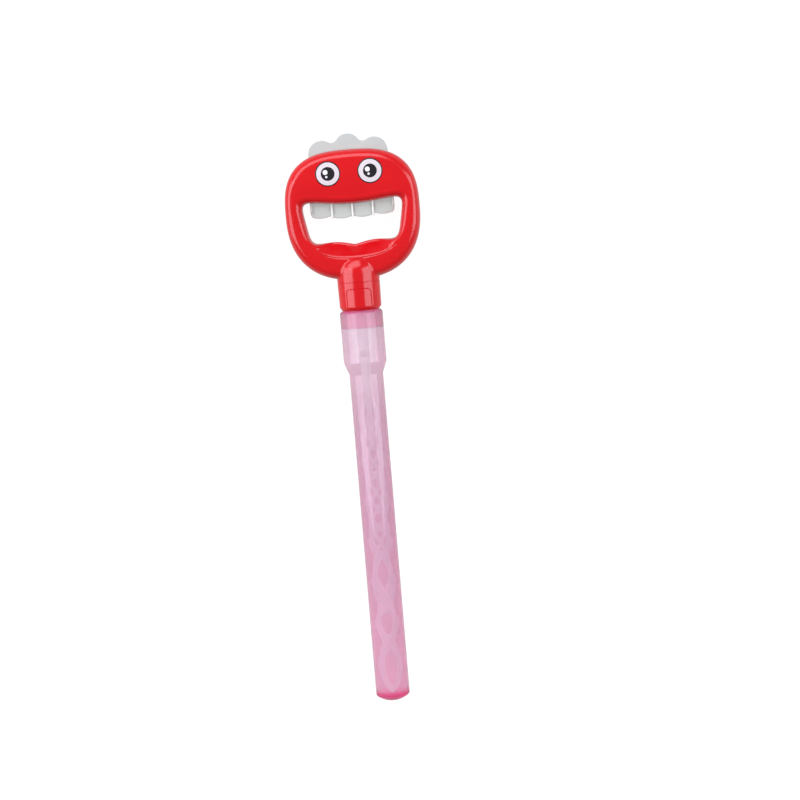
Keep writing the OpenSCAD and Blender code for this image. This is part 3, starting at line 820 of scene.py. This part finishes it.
moulding = {
    "mergeGap": 0.001, "flatAngle": 0.5, "sharpAngle": 40,
    # width of the rounded edge in mm, and its segments
    "stopper": (0.3, 2), "stem": (0.25, 2), "rivet": (0.3, 3), "arm": (0.45, 3),
}
arms = {"arm_left_outer": "leftOuterArm", "arm_left_inner": "leftInnerArm", "arm_middle": "middleArm",
        "arm_right_inner": "rightInnerArm", "arm_right_outer": "rightOuterArm"}


def roundedCopy(node, name, body, slot, material, edge, segments):
    deselectAll()
    obj = bpy.data.objects.new(name, nodes[node].data.copy())
    bpy.context.scene.collection.objects.link(obj)
    cleanMesh(obj, moulding["mergeGap"])
    startEdit(obj)
    bpy.ops.mesh.select_all(action="SELECT")
    bpy.ops.mesh.dissolve_limited(angle_limit=math.radians(moulding["flatAngle"]))
    endEdit()
    useModifier(obj, "BEVEL", width=edge * mm, segments=segments, limit_method="ANGLE",
                angle_limit=math.radians(moulding["sharpAngle"]), use_clamp_overlap=True)
    smoothShade(obj)
    finishPiece(obj, name, body, slot, material, node)


roundedCopy("stopper", "stopperDisc", "handle", "deep_pink_plastic", deepPink, *moulding["stopper"])
roundedCopy("stem", "stemSleeve", "handle", "clear_plastic", clearPlastic, *moulding["stem"])
roundedCopy("arm_pin", "armRivet", "handle", "clear_plastic", rivetPlastic, *moulding["rivet"])
for node, name in arms.items():
    body = "handle" if node == "arm_middle" else node         # the middle arm doesn't turn
    roundedCopy(node, name, body, "clear_plastic", clearPlastic, *moulding["arm"])


# tube and wiper ring, turned from their half sections

# closed half section, turned about the wand's axis
def turnPiece(outline, steps):
    onAxis = 1e-9                                             # nearer than this is on the axis, in metres
    obj = emptyPiece()
    mesh = startEdit(obj)
    ring = [mesh.verts.new(place(r, level, 0)) for r, level in outline]
    for vertex, other in zip(ring, ring[1:] + ring[:1]):
        if max(vertex.co.x, other.co.x) > onAxis:
            mesh.edges.new((vertex, other))
    bmesh.update_edit_mesh(obj.data)
    bpy.ops.mesh.select_all(action="SELECT")
    bpy.ops.mesh.spin(steps=steps, angle=math.tau, center=place(0, 0, 0), axis=(0, 1, 0))
    endEdit()
    cleanMesh(obj)
    return obj


# puts an arc of its own radius in place of each corner
def roundOff(corners, steps):
    points = [Vector(corner[:2]) for corner in corners]
    result = []
    for i, here in enumerate(points):
        r = corners[i][2]
        if r == 0:
            result.append(tuple(here))
            continue
        before, after = points[i - 1], points[(i + 1) % len(points)]
        first, second = (before - here).normalized(), (after - here).normalized()
        half = first.angle(second) / 2
        start, end = here + first * r / math.tan(half), here + second * r / math.tan(half)
        centre = here + (first + second).normalized() * r / math.sin(half)
        arm = start - centre
        sweep = arm.angle_signed(end - centre)
        for k in range(steps + 1):
            turn = -sweep * k / steps
            result.append((centre.x + arm.x * math.cos(turn) - arm.y * math.sin(turn),
                           centre.y + arm.x * math.sin(turn) + arm.y * math.cos(turn)))
    return result


tube = {
    "end": -313.2, "domeHeight": 4.0, "footRound": 2.6, "floor": -310.6, "bowl": 6.5,
    "radius": 10.7, "wall": 1.2, "shoulderLow": -103.2, "shoulderTop": -95.8,
    "wideRadius": 13.55, "top": -62.9, "rimRadius": 12.275,
    "spigotRadius": 11.35, "spigotTop": -53.7, "spigotBore": 10.2, "collarLow": -73.8,
    "bend": 1.2, "rimRound": 0.6, "edge": 0.3,
    "steps": 128, "roundSteps": 8, "domeSteps": 12, "footSteps": 6, "smooth": 30,
}


def tubeFoot():
    radius, end, height, foot = tube["radius"], tube["end"], tube["domeHeight"], tube["footRound"]
    domeR = (radius ** 2 + height ** 2) / (2 * height)
    turnAt = math.asin((radius - foot) / (domeR - foot))      # here the dome runs into the round of the foot
    outline = []
    for i in range(tube["domeSteps"] + 1):
        turn = turnAt * i / tube["domeSteps"]
        outline.append((domeR * math.sin(turn), end + domeR * (1 - math.cos(turn))))
    centre = (radius - foot, end + domeR - (domeR - foot) * math.cos(turnAt))
    return outline + arcPoints(centre, foot, turnAt - math.pi / 2, 0, tube["footSteps"])[1:]


def makeTube():
    bore, wideBore = tube["radius"] - tube["wall"], tube["wideRadius"] - tube["wall"]
    rim = tube["wideRadius"] - tube["rimRadius"]
    corners = [
        # radius, level, rounding
        (tube["radius"], tube["end"] + tube["domeHeight"], 0),
        (tube["radius"], tube["shoulderLow"], tube["bend"]),
        (tube["wideRadius"], tube["shoulderTop"], tube["bend"]),
        (tube["wideRadius"], tube["top"] - rim, tube["rimRound"]),
        (tube["rimRadius"], tube["top"], tube["edge"]),
        (tube["spigotRadius"], tube["top"], 0),
        (tube["spigotRadius"], tube["spigotTop"], tube["edge"]),
        (tube["spigotBore"], tube["spigotTop"], tube["edge"]),
        (tube["spigotBore"], tube["collarLow"], tube["edge"]),
        (wideBore, tube["collarLow"], tube["edge"]),
        (wideBore, tube["shoulderTop"], tube["bend"]),
        (bore, tube["shoulderLow"], tube["bend"]),
        (bore, tube["floor"], tube["bowl"]),
        (0.0, tube["floor"], 0),
    ]
    obj = turnPiece(tubeFoot() + roundOff(corners, tube["roundSteps"])[1:], tube["steps"])
    smoothShade(obj, tube["smooth"])
    finishPiece(obj, "tubeBody", "tube", "tube_plastic", tubePlastic, "tube")


makeTube()

wiper = {
    "radius": 10.15, "bore": 8.85, "lip": 8.35, "low": -73.7, "lipTop": -72.7, "top": -53.7,
    "flangeTop": -52.9, "flangeRadius": 11.35, "edge": 0.3, "fineEdge": 0.2, "steps": 96, "roundSteps": 4,
}


def makeWiper():
    corners = [
        # radius, level, rounding
        (wiper["lip"], wiper["low"], wiper["edge"]),
        (wiper["radius"], wiper["low"], wiper["edge"]),
        (wiper["radius"], wiper["top"], 0),
        (wiper["flangeRadius"], wiper["top"], wiper["fineEdge"]),
        (wiper["flangeRadius"], wiper["flangeTop"], wiper["fineEdge"]),
        (wiper["bore"], wiper["flangeTop"], wiper["edge"]),
        (wiper["bore"], wiper["lipTop"], wiper["fineEdge"]),
        (wiper["lip"], wiper["lipTop"], wiper["edge"]),
    ]
    obj = turnPiece(roundOff(corners, wiper["roundSteps"]), wiper["steps"])
    smoothShade(obj)
    finishPiece(obj, "wiperRing", "tube", "deep_pink_plastic", deepPink, "wiper_ring")


makeWiper()


# table, lights and camera

studio = {
    "floorSize": 60, "floorColour": (0.08, 0.08, 0.08), "floorGlow": 0.95, "floorRough": 0.8,
    "floorScale": 3, "floorDrift": 0.99,
    # brightness of the room above the horizon, below it and behind clear pieces, and how soft the horizon is
    "sky": 0.24, "skyBelow": 0.60, "skyThrough": 0.85, "horizon": 0.02,
    "lampColour": (0.93, 0.975, 1.06),
    "lights": (
        # name, place in metres, width, length, watts
        ("leftSoftbox", (-1.02, 0.20, 0.72), 0.95, 1.30, 14.4),
        ("rightSoftbox", (1.02, 0.20, 0.76), 0.95, 1.20, 13.2),
        ("topSoftbox", (-0.35, 1.05, 0.90), 1.60, 0.85, 14.0),
    ),
    "cameraPlace": (0.0897, 0.1847, 2.0045), "cameraTurn": (-5.148, 1.589, -4.719), "lens": 142.02,
    "sensor": 36, "clearLayers": 48,
}


def makeTable():
    deselectAll()
    bpy.ops.mesh.primitive_plane_add(size=studio["floorSize"])
    floor = bpy.context.object
    floor.name = "tableTop"
    material, tree, shader = newMaterial("paleTable")
    grain = noise(tree, objectPoint(tree), studio["floorScale"])
    drift = mapped(tree, grain, *mouldedLook["grainBand"], 0, 1)
    pale = studio["floorColour"]
    darker = tuple(studio["floorDrift"] * c for c in pale)
    tree.links.new(mixColour(tree, drift, pale, darker), shader.inputs["Base Color"])
    shader.inputs["Roughness"].default_value = studio["floorRough"]
    shader.inputs["Emission Color"].default_value = (1, 1, 1, 1)
    shader.inputs["Emission Strength"].default_value = studio["floorGlow"]
    floor.data.materials.append(material)
    floor.visible_glossy = False                              # the gloss shows the lamps and not the table


def addToScene(name, data, spot, turn):
    obj = bpy.data.objects.new(name, data)
    bpy.context.scene.collection.objects.link(obj)
    obj.location = spot
    obj.rotation_euler = turn
    return obj


def makeLamps():
    for name, spot, width, length, watts in studio["lights"]:
        lamp = bpy.data.lights.new(name, "AREA")
        lamp.shape = "RECTANGLE"
        lamp.size, lamp.size_y, lamp.energy = width, length, watts
        lamp.color = studio["lampColour"]
        addToScene(name, lamp, spot, (-Vector(spot)).to_track_quat("-Z", "Y").to_euler())


def makeRoom():
    world = bpy.data.worlds.new("paleRoom")
    world.use_nodes = True
    tree = world.node_tree
    background = tree.nodes["Background"]
    background.inputs["Color"].default_value = (1, 1, 1, 1)
    direction = splitPoint(tree, addNode(tree, "ShaderNodeTexCoord").outputs["Generated"])
    soft = studio["horizon"]
    upward = mapped(tree, direction["Z"], -soft, soft, studio["skyBelow"], studio["sky"])
    through = addNode(tree, "ShaderNodeLightPath").outputs["Is Transmission Ray"]
    strength = addNode(tree, "ShaderNodeMix")                 # clear pieces have a pale wall behind them
    tree.links.new(through, strength.inputs["Factor"])
    tree.links.new(upward, strength.inputs["A"])
    strength.inputs["B"].default_value = studio["skyThrough"]
    tree.links.new(strength.outputs["Result"], background.inputs["Strength"])
    bpy.context.scene.world = world


def makeCamera():
    camera = bpy.data.cameras.new("catalogueCamera")
    camera.sensor_width, camera.lens = studio["sensor"], studio["lens"]
    turn = [math.radians(a) for a in studio["cameraTurn"]]
    scene = bpy.context.scene
    scene.camera = addToScene("catalogueCamera", camera, studio["cameraPlace"], turn)
    scene.view_settings.view_transform = "Standard"
    scene.cycles.transparent_max_bounces = studio["clearLayers"]


makeTable()
makeLamps()
makeRoom()
makeCamera()
print("studio ready")
